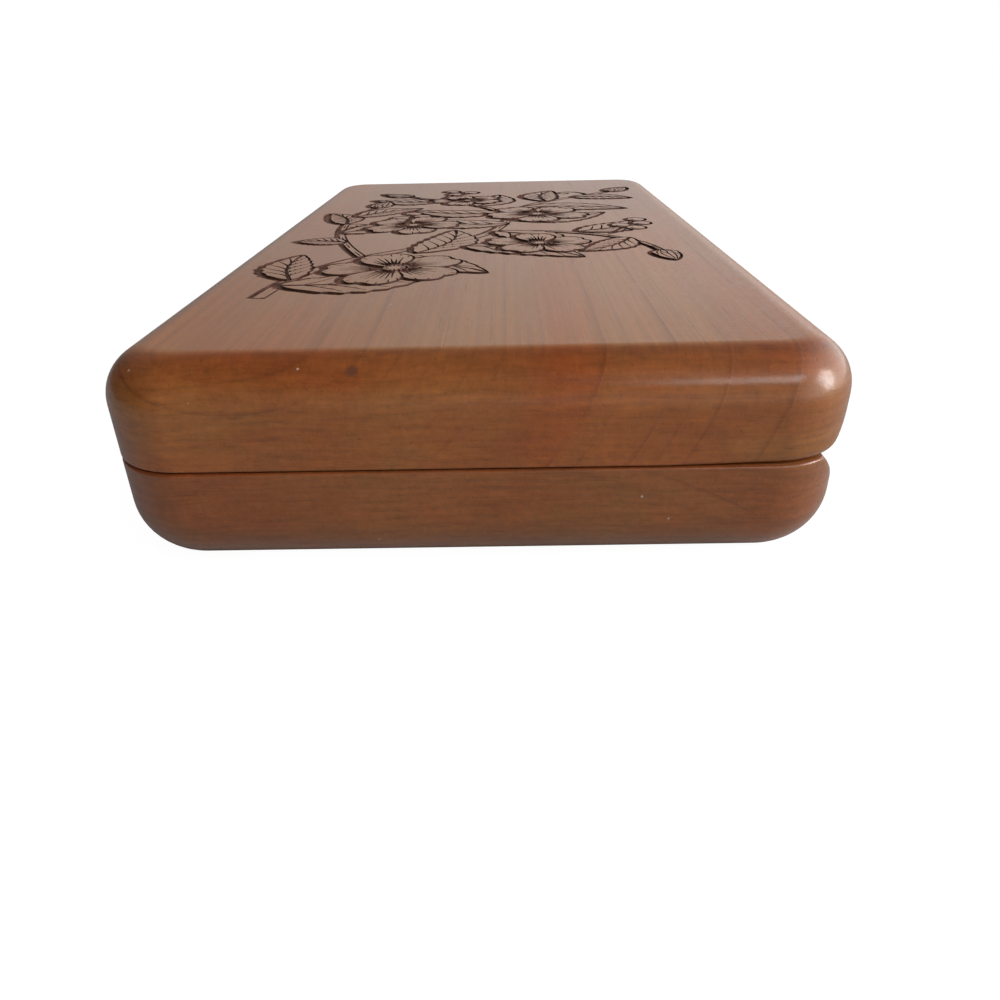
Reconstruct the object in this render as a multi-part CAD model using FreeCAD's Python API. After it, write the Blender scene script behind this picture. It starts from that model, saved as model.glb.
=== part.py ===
"""Sliding lid wooden box for banknotes, letters and small keepsakes.

Two routed hardwood halves meet at a seam that runs all the way round. The upper half
slides off lengthwise, towards +Y, on two dovetail runners that are screwed under its side
walls and run in dovetail slots in the lower half. The slots are closed at the -Y end and
come out through the +Y end. Millimetres, +Z up, origin at the centre of the underside.
"""

import FreeCAD, Part
import math
import os

# Outside form
width = 100.0
length = 182.0
tray_height = 15.6
lid_height = 14.6
corner_radius = 11.0
top_round = 7.0
foot_round = 9.0

# Rounding of the outer edges that meet at the seam. The lid's grows from both ends towards
# the +X side
seam_ease = 0.4
corner_ease_lid = 1.3
side_ease_lid = 2.4
ease_growth = 14.0

# Finger groove along the seam of the +X side. It is cut straight from end to end, so it runs
# out where the corners curve away. The tray stands a little inside the lid on that side
grip_depth = 4.0
grip_height_lid = 7.2
grip_bulge_lid = 0.85
grip_height_tray = 5.6
grip_bulge_tray = 0.25
tray_step = 0.5

# Hollows, with a small chamfer round each rim
tray_side_wall = 8.0
lid_side_wall = 13.0
end_wall = 8.0
tray_floor = 5.0
lid_roof = 5.0
hollow_corner_radius = 6.0
rim_chamfer = 0.5

# Dovetail slots, cut with a tapered round cutter, and the runners in them
slot_depth = 4.0
slot_floor_width = 8.0
slot_flank_angle = 14.0
slot_reach_into_wall = 2.6
slide_clearance = 0.2
runner_end_recess = 0.3

# Countersunk slotted screws, driven up through the runners into the side walls of the lid
screws_per_runner = 2
screw_end_distance = 22.0
screw_length = 9.0
screw_radius = 1.0
screw_head_radius = 1.9
screw_head_height = 1.1
screw_recess = 0.2
screw_play = 0.02
driver_slot_width = 0.5
driver_slot_depth = 0.4

# Disc magnets that hold the lid shut, in the -Y end walls
magnet_spacing = 48.0
magnet_radius = 2.5
magnet_height = 2.0
magnet_recess = 0.1
magnet_play = 0.05

# Felt on the floor of the tray
felt_thickness = 1.2
felt_margin = 0.3

# Levels and places worked out from the sizes above
seam = tray_height
top = tray_height + lid_height
slot_floor = seam - slot_depth
slot_taper = math.tan(math.radians(slot_flank_angle))
slot_floor_radius = slot_floor_width / 2
slot_x = width / 2 - tray_side_wall + slot_reach_into_wall - slot_floor_radius
slot_end_y = -length / 2 + end_wall + slot_floor_radius
runner_foot = slot_floor + slide_clearance
magnet_y = -(length - end_wall) / 2


def rounded_rectangle(size_x, size_y, radius, level, split_x=None):
    """Face centred in plan. Its two end edges are split at split_x, if that is given."""
    far_x = size_x / 2
    far_y = size_y / 2
    near_x = far_x - radius
    near_y = far_y - radius
    slant = radius * math.sqrt(0.5)

    def at(x, y):
        return FreeCAD.Vector(x, y, level)

    def corner(sign_x, sign_y):
        end_side = at(sign_x * near_x, sign_y * far_y)
        middle = at(sign_x * (near_x + slant), sign_y * (near_y + slant))
        long_side = at(sign_x * far_x, sign_y * near_y)
        return Part.Arc(end_side, middle, long_side)

    pieces = [corner(sx, sy) for sx in (-1, 1) for sy in (-1, 1)]
    pieces += [Part.LineSegment(at(s * far_x, -near_y), at(s * far_x, near_y)) for s in (-1, 1)]
    stops = [-near_x, near_x] if split_x is None else [-near_x, split_x, near_x]
    for start, end in zip(stops, stops[1:]):
        pieces += [Part.LineSegment(at(start, s * far_y), at(end, s * far_y)) for s in (-1, 1)]
    outline = Part.Wire(Part.__sortEdges__([piece.toShape() for piece in pieces]))
    return Part.Face(outline)


def rounded_prism(size_x, size_y, radius, low, high, split_x=None):
    """Upright prism with rounded corners, centred in plan."""
    base = rounded_rectangle(size_x, size_y, radius, low, split_x)
    return base.extrude(FreeCAD.Vector(0, 0, high - low))


def level_face(solid, level):
    """The largest flat face of a solid at one level."""
    flat = [f for f in solid.Faces if f.BoundBox.ZLength < 1e-6 and abs(f.BoundBox.ZMin - level) < 1e-6]
    return max(flat, key=lambda face: face.Area)


def lid_ease_at(point):
    """Rounding of the lid's edge at the seam, at one corner point of its outline."""
    if point.x > width / 2 - seam_ease:
        return side_ease_lid
    if point.x > width / 2 - corner_radius - seam_ease:
        return corner_ease_lid
    return seam_ease


def eased_lid(solid):
    """Rounds the lid's outline at the seam, more and more towards the +X side."""
    outline = [e.hashCode() for e in level_face(solid, seam).OuterWire.Edges]
    document = FreeCAD.newDocument("ease")
    blank = document.addObject("Part::Feature", "blank")
    blank.Shape = solid
    fillet = document.addObject("Part::Fillet", "fillet")
    fillet.Base = blank
    fillet.Edges = [
        (number, *[lid_ease_at(edge.valueAt(end)) for end in edge.ParameterRange])
        for number, edge in enumerate(solid.Edges, 1)
        if edge.hashCode() in outline
    ]
    document.recompute()
    eased = fillet.Shape.copy()
    FreeCAD.closeDocument(document.Name)
    return eased


def finger_groove(side_x, height, bulge):
    """Straight cutter for one half. Its arched flank runs from the seam up or down to the long side."""
    way = math.copysign(1, height)
    clear_x = side_x + grip_depth
    past_seam = seam - way * grip_depth

    def at(x, level):
        return FreeCAD.Vector(x, -length / 2, level)

    rim = at(side_x - grip_depth, seam)
    border = at(side_x, seam + height)
    outwards = FreeCAD.Vector(0, way, 0).cross(border - rim).normalize()
    flank = Part.Arc(rim, (rim + border) / 2 + outwards * bulge, border).toShape()
    rest = Part.makePolygon(
        [border, at(clear_x, border.z), at(clear_x, past_seam), at(rim.x, past_seam), rim]
    )
    profile = Part.Face(Part.Wire([flank] + rest.Edges))
    return profile.extrude(FreeCAD.Vector(0, length, 0))


def lid_blank():
    """The lid before it is hollowed out, with its part of the finger groove."""
    ease_from_x = width / 2 - corner_radius - ease_growth
    prism = rounded_prism(width, length, corner_radius, seam, top, split_x=ease_from_x)
    eased = eased_lid(prism)
    rounded = eased.makeFillet(top_round, level_face(eased, top).OuterWire.Edges)
    return rounded.cut(finger_groove(width / 2, grip_height_lid, grip_bulge_lid))


def tray_blank():
    """The tray before it is hollowed out, with its part of the finger groove."""
    prism = rounded_prism(width - tray_step, length, corner_radius, 0, seam)
    prism.translate(FreeCAD.Vector(-tray_step / 2, 0, 0))
    eased = prism.makeFillet(seam_ease, level_face(prism, seam).OuterWire.Edges)
    rounded = eased.makeFillet(foot_round, level_face(eased, 0).OuterWire.Edges)
    return rounded.cut(finger_groove(width / 2 - tray_step, -grip_height_tray, grip_bulge_tray))


def hollowed(blank, side_wall, low, high):
    """Cuts the hollow out of a half, and chamfers its rim at the seam."""
    size_x = width - 2 * side_wall
    size_y = length - 2 * end_wall
    hollow = rounded_prism(size_x, size_y, hollow_corner_radius, low, high)
    shell = blank.cut(hollow)
    rim = [w for w in level_face(shell, seam).Wires if w.BoundBox.XLength < size_x + side_wall]
    return shell.makeChamfer(rim_chamfer, rim[0].Edges)


def dovetail(side, floor_level, flank_gap, rear_y):
    """Dovetail bar along a slot, with the round end that the tapered cutter leaves at -Y."""
    floor_radius = slot_floor_radius - (floor_level - slot_floor) * slot_taper - flank_gap
    mouth_radius = slot_floor_radius - slot_depth * slot_taper - flank_gap
    x = side * slot_x
    section = [
        (x - floor_radius, floor_level),
        (x + floor_radius, floor_level),
        (x + mouth_radius, seam),
        (x - mouth_radius, seam),
    ]
    corners = [FreeCAD.Vector(across, slot_end_y, level) for across, level in section]
    profile = Part.Face(Part.makePolygon(corners + corners[:1]))
    bar = profile.extrude(FreeCAD.Vector(0, rear_y - slot_end_y, 0))
    round_end = Part.makeCone(
        floor_radius, mouth_radius, seam - floor_level, FreeCAD.Vector(x, slot_end_y, floor_level)
    )
    return bar.fuse(round_end).removeSplitter()


def screw_form(room_below=0.0, play=0.0):
    """Countersunk screw with its head's face at the origin, or the hole for it."""
    radius = screw_radius + play
    head_slope = (screw_head_radius - screw_radius) / screw_head_height
    cone_height = screw_head_height + room_below
    head = Part.makeCone(
        radius + head_slope * cone_height, radius, cone_height, FreeCAD.Vector(0, 0, -room_below)
    )
    shank = Part.makeCylinder(radius, screw_length)
    return head.fuse(shank).removeSplitter()


def screw_places():
    """Centre of each screw head's face."""
    first_y = slot_end_y + screw_end_distance
    last_y = length / 2 - screw_end_distance
    pitch = (last_y - first_y) / (screws_per_runner - 1)
    level = runner_foot + screw_recess
    return [
        FreeCAD.Vector(side * slot_x, first_y + number * pitch, level)
        for side in (-1, 1)
        for number in range(screws_per_runner)
    ]


def screw_holes():
    """Countersunk holes through the runners into the lid, which leave room under each head."""
    return moved_copies(screw_form(screw_recess, screw_play), screw_places())


def moved_copies(solid, places):
    """Copies of a solid, one at each place."""
    copies = []
    for place in places:
        copy = solid.copy()
        copy.translate(place)
        copies.append(copy)
    return copies


def runner_screws():
    """All the screws, each with a slot for the driver."""
    slot = Part.makeBox(
        2 * screw_head_radius,
        driver_slot_width,
        driver_slot_depth,
        FreeCAD.Vector(-screw_head_radius, -driver_slot_width / 2, 0),
    )
    return Part.makeCompound(moved_copies(screw_form().cut(slot), screw_places()))


def magnets(low, play=0.0, extra_depth=0.0):
    """The pair of discs in one half, or the seats for them."""
    height = magnet_height + extra_depth
    disc = Part.makeCylinder(magnet_radius + play, height)
    places = [FreeCAD.Vector(side * magnet_spacing / 2, magnet_y, low) for side in (-1, 1)]
    return moved_copies(disc, places)


def tray_magnets():
    return Part.makeCompound(magnets(seam - magnet_recess - magnet_height))


def lid_magnets():
    return Part.makeCompound(magnets(seam + magnet_recess))


def base_tray():
    """Lower half: hollow, two dovetail slots out through the +Y end, and magnet seats."""
    tray = hollowed(tray_blank(), tray_side_wall, tray_floor, seam)
    slots = [dovetail(side, slot_floor, 0, length) for side in (-1, 1)]
    seats = magnets(seam - magnet_recess - magnet_height, magnet_play, magnet_recess)
    return tray.cut(slots + seats)


def lid_shell():
    """Upper half: hollow, with screw holes over the runners and magnet seats."""
    lid = hollowed(lid_blank(), lid_side_wall, seam, top - lid_roof)
    seats = magnets(seam, magnet_play, magnet_recess)
    return lid.cut(seats + screw_holes())


def runner(side):
    """Dovetail runner under one side wall of the lid, cut back level with the tray's +Y end."""
    flank_gap = slide_clearance / math.cos(math.radians(slot_flank_angle))
    bar = dovetail(side, runner_foot, flank_gap, length)
    outside = tray_blank()
    outside.translate(FreeCAD.Vector(0, -runner_end_recess, 0))
    return bar.common(outside).cut(screw_holes())


def tray_lining():
    """Felt sheet glued to the floor of the tray."""
    size_x = width - 2 * (tray_side_wall + felt_margin)
    size_y = length - 2 * (end_wall + felt_margin)
    return rounded_prism(
        size_x, size_y, hollow_corner_radius - felt_margin, tray_floor, tray_floor + felt_thickness
    )


def main():
    nodes = {
        "base_tray": base_tray(),
        "tray_lining": tray_lining(),
        "tray_magnets": tray_magnets(),
        "lid_shell": lid_shell(),
        "left_runner": runner(-1),
        "right_runner": runner(1),
        "runner_screws": runner_screws(),
        "lid_magnets": lid_magnets(),
    }
    os.makedirs("parts", exist_ok=True)
    for name, shape in nodes.items():
        shape.exportStep(f"parts/{name}.step")
        print(f"{name}: {len(shape.Solids)} solids, valid {shape.isValid()}, {shape.Volume / 1000:.2f} cm3")


main()
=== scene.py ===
"""Looks of a flat wooden box whose upper half slides off lengthwise.

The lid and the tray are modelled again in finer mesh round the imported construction, and a spray
of blossoms, leaves and berries is cut and burnt into the top of the lid. The runners, screws and
magnets of the construction stay and get their finishes. Metres, +Z up.
"""

import math
import random

import bmesh
import bpy
from mathutils import Matrix, Vector, noise
from mathutils.bvhtree import BVHTree
from mathutils.geometry import delaunay_2d_cdt


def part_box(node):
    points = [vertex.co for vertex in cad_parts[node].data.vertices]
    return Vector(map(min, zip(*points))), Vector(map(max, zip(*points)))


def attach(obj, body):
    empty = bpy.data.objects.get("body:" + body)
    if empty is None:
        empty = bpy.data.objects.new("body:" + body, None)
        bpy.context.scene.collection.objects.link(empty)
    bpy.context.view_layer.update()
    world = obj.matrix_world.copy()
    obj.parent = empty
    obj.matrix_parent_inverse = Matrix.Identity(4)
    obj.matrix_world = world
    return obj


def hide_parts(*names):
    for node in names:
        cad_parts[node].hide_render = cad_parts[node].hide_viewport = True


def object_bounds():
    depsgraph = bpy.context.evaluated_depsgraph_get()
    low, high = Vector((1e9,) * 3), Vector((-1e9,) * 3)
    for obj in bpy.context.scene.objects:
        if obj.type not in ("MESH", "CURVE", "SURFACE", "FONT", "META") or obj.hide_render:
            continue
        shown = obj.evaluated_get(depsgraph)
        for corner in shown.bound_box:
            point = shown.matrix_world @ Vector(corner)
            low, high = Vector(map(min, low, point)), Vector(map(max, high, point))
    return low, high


bl_info = {
    "name": "Sliding lid wooden box",
    "version": (1, 0, 0),
    "blender": (4, 5, 0),
    "location": "3D View > Sidebar > Wooden box",
    "description": "Models a lacquered wooden box with a sliding lid and a burnt flower spray",
    "category": "Add Mesh",
}

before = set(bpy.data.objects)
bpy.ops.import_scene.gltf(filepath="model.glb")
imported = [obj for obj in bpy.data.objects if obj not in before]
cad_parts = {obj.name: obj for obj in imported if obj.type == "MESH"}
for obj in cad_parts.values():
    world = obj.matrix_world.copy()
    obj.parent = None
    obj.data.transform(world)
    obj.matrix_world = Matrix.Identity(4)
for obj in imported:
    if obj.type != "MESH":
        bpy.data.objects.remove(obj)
CAD_LOW, CAD_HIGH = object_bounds()
TRAY_LOW, TRAY_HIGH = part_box("base_tray")
LID_LOW, LID_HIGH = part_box("lid_shell")
SEAM = LID_LOW.z
TOP = LID_HIGH.z
HALF_WIDTH = LID_HIGH.x
HALF_LENGTH = LID_HIGH.y
MM = 0.001
CLOSE = 1e-6
WHITE = (1.0, 1.0, 1.0)

# How many steps the roundings have
CORNER_STEPS, EDGE_STEPS, EASE_STEPS, SEAM_STEPS, HOLLOW_STEPS = 28, 16, 10, 4, 12

# Kinds of area on the engraved top, and the slots of the lid's materials
PLAIN, BURNT, CARVED = range(3)
LACQUERED_SLOT, BARE_SLOT, BURNT_SLOT, CARVED_SLOT = range(4)


def length_prop(name, description, default):
    """A size that a user may change, in metres."""
    return bpy.props.FloatProperty(
        name=name, description=description, default=default, min=0.0, precision=5, unit="LENGTH"
    )


def angle_prop(name, description, default):
    """An angle that a user may change, in radians."""
    return bpy.props.FloatProperty(name=name, description=description, default=default, subtype="ANGLE")


def power_prop(name, description, default):
    """The power of a light, in watts."""
    return bpy.props.FloatProperty(name=name, description=description, default=default, unit="POWER")


def colour_prop(name, description, default):
    """A colour, or a tint that multiplies one, that a user may change."""
    return bpy.props.FloatVectorProperty(
        name=name, description=description, default=default, size=3, min=0.0, max=2.0, subtype="COLOR"
    )


def place_prop(name, description, default):
    """A place that a user may change, in metres."""
    return bpy.props.FloatVectorProperty(
        name=name, description=description, default=default, size=3, unit="LENGTH"
    )


class WoodenBoxForm(bpy.types.PropertyGroup):
    """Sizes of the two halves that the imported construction's outer box doesn't give."""

    corner_radius: length_prop("Corner radius", "Radius of the upright corners", 0.011)
    top_round: length_prop("Top rounding", "Radius of the lid's top edge", 0.007)
    foot_round: length_prop("Foot rounding", "Radius of the tray's bottom edge", 0.009)
    seam_ease: length_prop("Seam easing", "Radius of most edges at the seam", 0.0004)
    corner_ease: length_prop("Corner easing", "Radius at the seam where the lid's +X corners start", 0.0013)
    side_ease: length_prop("Side easing", "Radius at the seam where the lid's +X corners end", 0.0024)
    ease_growth: length_prop("Easing growth", "Length of each end over which the easing grows", 0.014)
    rim_relief: length_prop("Rim relief", "How far the lid's outer rim stands clear of the tray", 0.00022)
    rim_relief_width: length_prop("Rim relief width", "How far in from the outline the relief goes", 0.0011)
    grip_depth: length_prop("Grip depth", "Depth of the finger groove at the seam", 0.004)
    grip_height_lid: length_prop("Grip height, lid", "Height of the finger groove in the lid", 0.0072)
    grip_bulge_lid: length_prop("Grip bulge, lid", "Rise of the arched flank in the lid", 0.00085)
    grip_blend_lid: length_prop("Grip blend, lid", "Width over which its border is softened", 0.0012)
    grip_height_tray: length_prop("Grip height, tray", "Height of the finger groove in the tray", 0.0056)
    grip_bulge_tray: length_prop("Grip bulge, tray", "Rise of the arched flank in the tray", 0.00025)
    grip_blend_tray: length_prop("Grip blend, tray", "The same width in the tray", 0.0006)
    tray_side_wall: length_prop("Tray side wall", "Thickness of the tray's long walls", 0.008)
    lid_side_wall: length_prop("Lid side wall", "Thickness of the lid's long walls", 0.013)
    end_wall: length_prop("End wall", "Thickness of the end walls", 0.008)
    tray_floor: length_prop("Tray floor", "Thickness of the tray's floor", 0.005)
    lid_roof: length_prop("Lid roof", "Thickness of the lid over its hollow", 0.005)
    hollow_radius: length_prop("Hollow radius", "Corner radius of both hollows", 0.006)
    rim_chamfer: length_prop("Rim chamfer", "Chamfer round the hollows at the seam", 0.0005)
    slot_depth: length_prop("Slot depth", "Depth of the dovetail slots", 0.004)
    slot_floor_width: length_prop("Slot floor width", "Width of a dovetail slot at its floor", 0.008)
    slot_mouth_width: length_prop("Slot mouth width", "Width of a dovetail slot at the seam", 0.006)
    carving_depth: length_prop("Carving depth", "Depth of the burnt lines in the lid's top", 0.0004)


class WoodenBoxFinish(bpy.types.PropertyGroup):
    """Colours of the woods, the felt and the metal, tints that paint light and shade onto the wood, and
    where each half grew in its tree.
    """

    early_wood: colour_prop("Early wood", "Pale part of the growth rings", (0.405, 0.166, 0.05))
    late_wood: colour_prop("Late wood", "Dark line at the end of each growth ring", (0.21, 0.07, 0.022))
    # Darker end grain, and partly painted shade: its mask starts at a slight tilt, so it also darkens the
    # top edge's rounding
    end_grain_and_shade_tint: colour_prop("End grain and shade tint", "What the end grain multiplies the colour by", (0.64, 0.54, 0.38))
    # Painted light: the +X side is made paler, as if lit from the right
    lit_side_tint: colour_prop("Lit side tint", "What the paler +X side multiplies the colour by", (1.06, 1.16, 1.3))
    # Painted shade: the top edge's rounding is made darker and redder, where it loses its reflection of the
    # bright low sky
    shaded_edge_tint: colour_prop("Shaded edge tint", "What the top edge's end grain is multiplied by", (0.93, 0.8, 0.86))
    red_tint: colour_prop("Red tint", "What the redder patches multiply the colour by", (1.03, 0.8, 0.7))
    tray_tint: colour_prop("Tray tint", "What the tray multiplies the colour by", (0.86, 0.84, 0.98))
    streak_tint: colour_prop("Streak tint", "What the lid's streak is multiplied by", (1.0, 0.84, 0.66))
    runner_wood: colour_prop("Runner wood", "Pale part of the runners' growth rings", (0.55, 0.36, 0.19))
    runner_late: colour_prop("Runner late wood", "Dark lines of the runners' wood", (0.36, 0.2, 0.09))
    burnt_wood: colour_prop("Burnt wood", "Deepest brown of the burnt lines", (0.07, 0.03, 0.02))
    singed_wood: colour_prop("Singed wood", "Brown of the carved lines' floors", (0.24, 0.105, 0.062))
    dust: colour_prop("Dust", "Colour of the specks of dust on the lacquer", (0.62, 0.5, 0.42))
    felt: colour_prop("Felt", "Colour of the lining", (0.03, 0.018, 0.013))
    felt_lint: colour_prop("Felt lint", "Colour of the lining's pale fibres", (0.075, 0.05, 0.038))
    brass: colour_prop("Brass", "Colour of the screws", (0.78, 0.52, 0.2))
    nickel: colour_prop("Nickel", "Colour of the magnets", (0.66, 0.64, 0.6))
    lid_pith: place_prop("Lid pith", "A point on the line round which its rings run", (-0.031, 0.0, 0.047))
    tray_pith: place_prop("Tray pith", "The same point for the tray's rings", (-0.009, 0.0, -0.075))
    runner_pith: place_prop("Runner pith", "The same point for the runners' rings", (0.01, 0.0, 0.09))
    ring_spacing: length_prop("Ring spacing", "Mean width of a growth ring", 0.0038)
    knot: place_prop("Knot", "Place of the small knot on the lid", (-0.0153, -0.08856, 0.0285))
    knot_size: length_prop("Knot size", "Radius of the knot's dark heart and soft rim", 0.0012)


class WoodenBoxStage(bpy.types.PropertyGroup):
    """The photograph's viewpoint and the studio's lights."""

    camera_place: place_prop("Camera place", "Where the camera stands", (0.00386, -0.18079, 0.06064))
    camera_pitch: angle_prop("Pitch", "How far the camera looks down", 0.5027)
    camera_yaw: angle_prop("Yaw", "How far the camera looks to the right", -0.0118)
    camera_roll: angle_prop("Roll", "How far the camera leans to the left", -0.0208)
    lens: bpy.props.FloatProperty(
        name="Lens", description="Focal length in millimetres on a sensor 36 mm wide", default=27.99
    )
    key_power: power_prop("Key light", "Power of the large light in front and above", 5.0)
    edge_power: power_prop("Edge light", "Power of the light that glints on the front edge", 2.6)
    side_power: power_prop("Side light", "Power of the light on the right", 6.2)


def deselect_all():
    if bpy.context.mode != "OBJECT":
        bpy.ops.object.mode_set(mode="OBJECT")
    bpy.ops.object.select_all(action="DESELECT")


def select_only(piece):
    deselect_all()
    piece.select_set(True)
    bpy.context.view_layer.objects.active = piece


def settle(name):
    """Names the primitive that was just added and bakes its place into its mesh."""
    piece = bpy.context.object
    piece.name = name
    piece.data.name = name
    bpy.ops.object.transform_apply(location=True, rotation=True, scale=True)
    return piece


def add_block(name, low, high):
    """Adds a box between two corners."""
    deselect_all()
    low, high = Vector(low), Vector(high)
    bpy.ops.mesh.primitive_cube_add(size=1.0, location=(low + high) / 2, scale=high - low)
    return settle(name)


def add_cone(name, low_radius, high_radius, low, high, place=(0.0, 0.0), vertices=48):
    """Adds an upright cone or cylinder between two heights."""
    deselect_all()
    bpy.ops.mesh.primitive_cone_add(
        vertices=vertices,
        radius1=low_radius,
        radius2=high_radius,
        depth=high - low,
        location=(place[0], place[1], (low + high) / 2),
    )
    return settle(name)


def pick(piece, wanted, kind="EDGE"):
    """Enters edit mode and selects the edges, faces or points that pass a test."""
    select_only(piece)
    bpy.ops.object.mode_set(mode="EDIT")
    bpy.ops.mesh.select_mode(type=kind)
    bpy.ops.mesh.select_all(action="DESELECT")
    mesh = bmesh.from_edit_mesh(piece.data)
    for part in {"VERT": mesh.verts, "EDGE": mesh.edges, "FACE": mesh.faces}[kind]:
        part.select = wanted(part)
    mesh.select_flush_mode()
    bmesh.update_edit_mesh(piece.data)


def bevel_edges(piece, wanted, width, segments):
    """Rounds the edges that pass a test."""
    pick(piece, wanted)
    bpy.ops.mesh.bevel(
        offset=width, offset_type="OFFSET", segments=segments, affect="EDGES", clamp_overlap=False
    )
    bpy.ops.object.mode_set(mode="OBJECT")


def is_upright(edge):
    a, b = (vertex.co for vertex in edge.verts)
    return abs(a.x - b.x) + abs(a.y - b.y) < CLOSE


def at_level(level):
    """A test for edges and faces that lie in one level plane."""
    return lambda part: all(abs(vertex.co.z - level) < CLOSE for vertex in part.verts)


def slice_across(piece, places, direction):
    """Cuts a row of edges round a piece at each place, square to one direction, and leaves it whole."""
    select_only(piece)
    bpy.ops.object.mode_set(mode="EDIT")
    for place in places:
        bpy.ops.mesh.select_all(action="SELECT")
        bpy.ops.mesh.bisect(plane_co=Vector(direction) * place, plane_no=direction)
    bpy.ops.object.mode_set(mode="OBJECT")


def apply_modifier(piece, kind, **settings):
    select_only(piece)
    bpy.ops.object.modifier_add(type=kind)
    modifier = piece.modifiers[-1]
    for name, value in settings.items():
        setattr(modifier, name, value)
    bpy.ops.object.modifier_apply(modifier=modifier.name)


def cut_away(piece, cutters, material):
    """Cuts other shapes out of a piece and gives the cut faces a material."""
    for cutter in cutters:
        cutter.data.materials.append(material)
        settings = {"operation": "DIFFERENCE", "solver": "EXACT", "material_mode": "TRANSFER"}
        apply_modifier(piece, "BOOLEAN", object=cutter, **settings)
        bpy.data.objects.remove(cutter)


def smooth(piece, sharper_than=math.radians(30)):
    """Shades curves smooth and keeps flats flat and real edges crisp."""
    select_only(piece)
    bpy.ops.object.shade_smooth_by_angle(angle=sharper_than)
    apply_modifier(piece, "WEIGHTED_NORMAL", keep_sharp=True)


def blend(first, second, share):
    """A value between two, by a share that is held between 0 and 1."""
    return first + (second - first) * min(max(share, 0.0), 1.0)


def soft_least(first, second, width):
    """The lesser of two values, with the change from one to the other rounded off."""
    near = max(width - abs(first - second), 0.0) / width
    return min(first, second) - near * near * width / 4


def plan_edge(x, y, form):
    """Depth of a place inside the box's plan outline, and the outward direction there."""
    inner_x = HALF_WIDTH - form.corner_radius
    inner_y = HALF_LENGTH - form.corner_radius
    over = Vector((max(abs(x) - inner_x, 0.0), max(abs(y) - inner_y, 0.0)))
    if over.x and over.y:
        depth = form.corner_radius - over.length
        out = over.normalized()
    elif HALF_WIDTH - abs(x) < HALF_LENGTH - abs(y):
        depth = HALF_WIDTH - abs(x)
        out = Vector((1.0, 0.0))
    else:
        depth = HALF_LENGTH - abs(y)
        out = Vector((0.0, 1.0))
    return depth, Vector((math.copysign(out.x, x), math.copysign(out.y, y)))


def lid_ease(x, out, form):
    """Radius of the lid's edge at the seam. It grows along the ends and round the +X corners."""
    corner_x = HALF_WIDTH - form.corner_radius
    if x > corner_x:
        turn = math.atan2(out.x, abs(out.y)) / (math.pi / 2)
        return blend(form.corner_ease, form.side_ease, turn)
    return blend(form.seam_ease, form.corner_ease, (x - corner_x) / form.ease_growth + 1.0)


def divide_ends(lid):
    """Divides the seam's edges along the ends into short ones, so that the easing grows smoothly."""
    short_edges = 60
    for end_y in (-HALF_LENGTH, HALF_LENGTH):
        end = Vector((0.0, end_y, SEAM))
        pick(lid, lambda edge: all((v.co - end).yz.length < CLOSE for v in edge.verts))
        bpy.ops.mesh.subdivide(number_cuts=short_edges - 1)
        bpy.ops.object.mode_set(mode="OBJECT")


def narrow_ease(lid, form):
    """Narrows the lid's rounding at the seam to what it is at each place."""
    widest = form.side_ease
    for vertex in lid.data.vertices:
        height = vertex.co.z - SEAM
        depth, out = plan_edge(vertex.co.x, vertex.co.y, form)
        if height > widest + CLOSE or depth > widest + CLOSE:
            continue
        share = lid_ease(vertex.co.x, out, form) / widest
        move = out * depth * (1.0 - share)
        vertex.co.x += move.x
        vertex.co.y += move.y
        vertex.co.z = SEAM + height * share


def relieve_rim(lid, form):
    """Lifts the lid's outer rim off the tray by a hair, so that a thin dark line shows at the seam."""
    reach = 2 * form.side_ease
    for vertex in lid.data.vertices:
        height = vertex.co.z - SEAM
        if height < reach:
            vertex.co.z += form.rim_relief * (1 - height / reach)
    pick(lid, at_level(SEAM + form.rim_relief))
    bpy.ops.mesh.select_mode(type="FACE")
    bpy.ops.mesh.inset(thickness=form.rim_relief_width)
    bpy.ops.transform.translate(value=(0.0, 0.0, -form.rim_relief))
    bpy.ops.object.mode_set(mode="OBJECT")


def groove_flank(side_x, height, bulge, form):
    """Gives how far out the finger groove's arched flank stands at a level."""
    way = math.copysign(1.0, height)
    run_off = 0.6
    rim = Vector((side_x - form.grip_depth, SEAM))
    border = Vector((side_x, SEAM + height))
    chord = border - rim
    outwards = Vector((chord.y, -chord.x)).normalized() * way
    radius = (chord.length**2 / 4 + bulge**2) / (2 * bulge)
    centre = (rim + border) / 2 + outwards * (bulge - radius)

    def stands_out(level):
        past = (level - border.y) * way
        if past > 0:
            return side_x + past * run_off
        return centre.x + math.sqrt(radius**2 - (level - centre.y) ** 2)

    return stands_out


def press_groove(half, side_x, height, bulge, softness, form):
    """Presses one half of the finger groove into the +X side. It runs out round the corners."""
    way = math.copysign(1.0, height)
    row = 0.45 * MM
    reach = abs(height) + 2 * softness
    levels = [SEAM + way * row * number for number in range(1, int(reach / row) + 1)]
    slice_across(half, levels, (0, 0, 1))
    stands_out = groove_flank(side_x, height, bulge, form)
    for vertex in half.data.vertices:
        if vertex.co.x > 0 and (vertex.co.z - SEAM) * way < reach:
            vertex.co.x = soft_least(vertex.co.x, stands_out(vertex.co.z), softness)


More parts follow.
